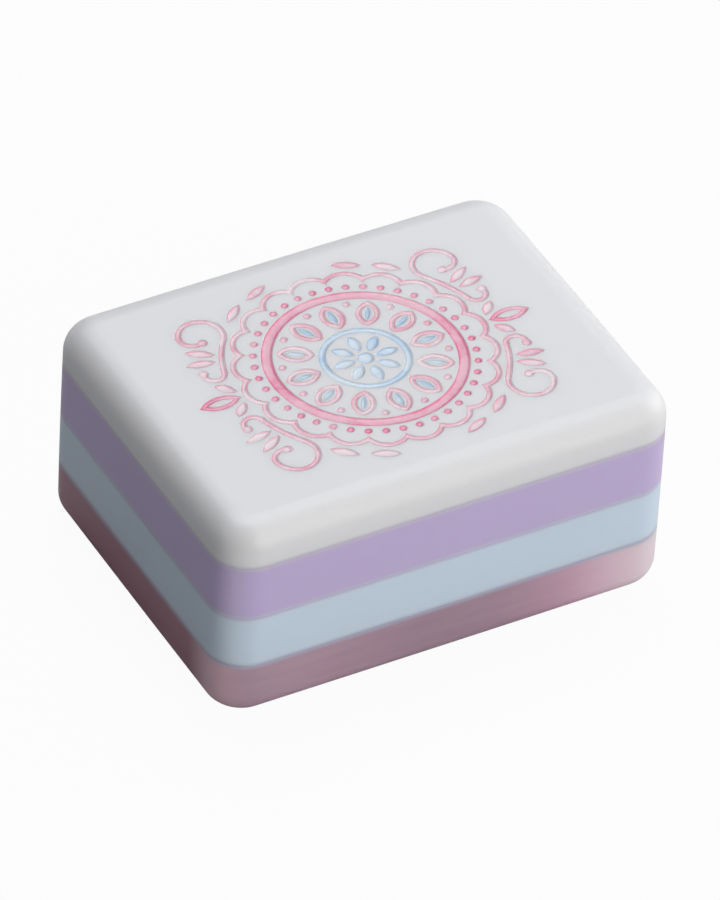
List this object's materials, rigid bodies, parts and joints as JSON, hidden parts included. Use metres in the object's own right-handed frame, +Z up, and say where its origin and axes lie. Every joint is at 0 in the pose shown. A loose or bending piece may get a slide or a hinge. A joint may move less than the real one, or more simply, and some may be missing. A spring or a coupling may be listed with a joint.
{
  "type": "mahjong tile",
  "caption": "Layered acrylic mahjong tile with rounded edges and an engraved, enamelled wheel and scrolls on its white face.",
  "frame": {"origin": "centre of the back face, which the tile lies on", "axes": "+X along the tile's length, the way it reads; +Y across its width; +Z up through the engraved face"},
  "size_m": [0.03, 0.023, 0.0141],
  "materials": {
    "rose_acrylic": "translucent mauve pink acrylic, polished",
    "blue_acrylic": "opaque pale blue acrylic, polished",
    "lavender_acrylic": "opaque lavender acrylic, polished",
    "white_acrylic": "opaque white acrylic, polished",
    "pink_enamel": "hand-filled pink enamel, satin",
    "dusty_enamel": "hand-filled dusty pink enamel, satin",
    "blue_enamel": "hand-filled pale blue enamel, satin"
  },
  "bodies": {
    "root": {"back_plate": "rose_acrylic", "blue_plate": "blue_acrylic", "lavender_plate": "lavender_acrylic", "face_plate": "white_acrylic", "heart_enamel": "blue_enamel", "flower_enamel": "blue_enamel", "hub_ring_enamel": "blue_enamel", "petal_enamel": "dusty_enamel", "vein_enamel": "blue_enamel", "seed_enamel": "dusty_enamel", "rim_enamel": "pink_enamel", "bead_enamel": "pink_enamel", "lace_enamel": "dusty_enamel", "bud_enamel": "pink_enamel", "scroll_enamel": "dusty_enamel", "leaf_enamel": "dusty_enamel"}
  },
  "joints": []
}
